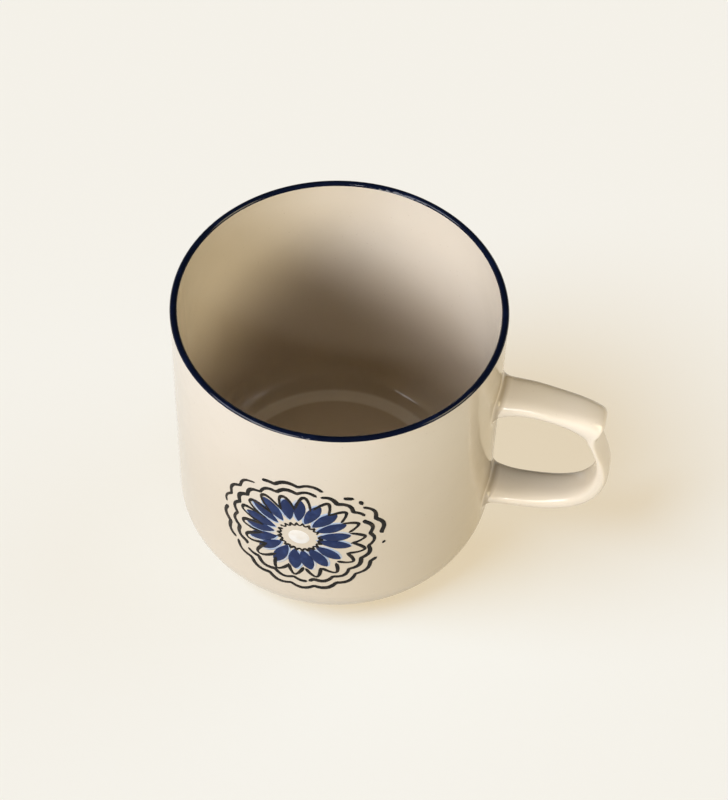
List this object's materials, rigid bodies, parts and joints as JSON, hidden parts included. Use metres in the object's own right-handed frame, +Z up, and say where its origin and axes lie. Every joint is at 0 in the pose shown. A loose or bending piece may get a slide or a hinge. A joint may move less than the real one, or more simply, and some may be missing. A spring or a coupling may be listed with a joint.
{
  "type": "mug",
  "caption": "Wide stoneware mug with cream glaze, a cobalt band round the lip, a painted rosette and a strap handle that ends in a pointed thumb rest",
  "frame": {"origin": "centre of the foot ring, on the plane that the mug stands on", "axes": "+Z up along the cup's axis of turning, +X from that axis along the handle, +Y to the left of somebody who looks along +X"},
  "size_m": [0.1222, 0.09, 0.0866],
  "materials": {
    "cream_glaze": "thick glossy cream glaze over stoneware",
    "stoneware": "bare fired buff clay, matt",
    "cobalt_glaze": "glossy dark cobalt blue glaze",
    "cobalt_paint": "cobalt blue underglaze paint",
    "iron_paint": "brown-black iron underglaze paint"
  },
  "bodies": {
    "root": {"cup_body": "cream_glaze", "handle": "cream_glaze", "upper_slip_seam": "stoneware", "lower_slip_seam": "stoneware", "rim_band": "cobalt_glaze"}
  },
  "joints": []
}
